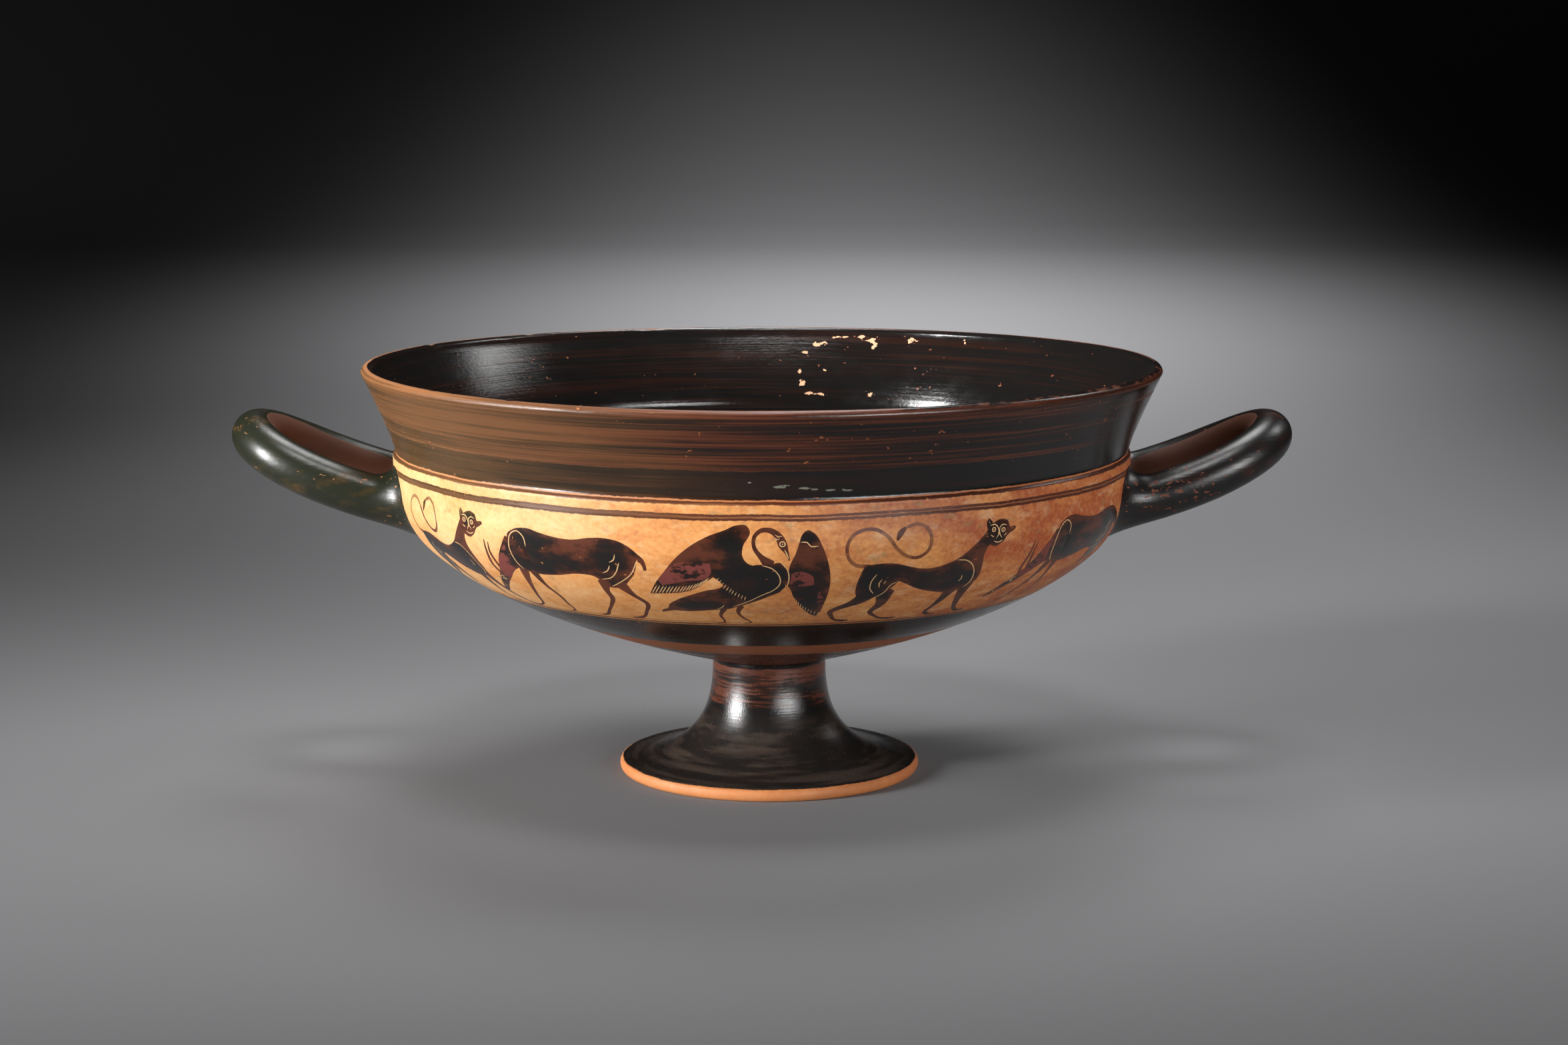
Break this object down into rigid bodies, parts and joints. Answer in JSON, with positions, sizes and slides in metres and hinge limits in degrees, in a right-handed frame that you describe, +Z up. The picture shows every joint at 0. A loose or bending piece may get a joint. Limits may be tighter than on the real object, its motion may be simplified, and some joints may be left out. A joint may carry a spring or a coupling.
{
  "type": "siana cup",
  "caption": "Wide black-figure drinking cup of fired clay with an offset lip, a trumpet foot and looped handles, painted with a swan among panthers and grazing goats.",
  "frame": {"origin": "middle of the cup at the plane that the foot stands on, under the bowl's centre", "axes": "+Z up out of the bowl, +X towards one handle, -Y towards the side with the swan"},
  "size_m": [0.3412, 0.256, 0.1337],
  "materials": {
    "painted_clay": "orange fired clay under a streaky, glossy black slip, with a reserved band of painted animals"
  },
  "bodies": {
    "root": {"cup": "painted_clay"}
  },
  "joints": []
}
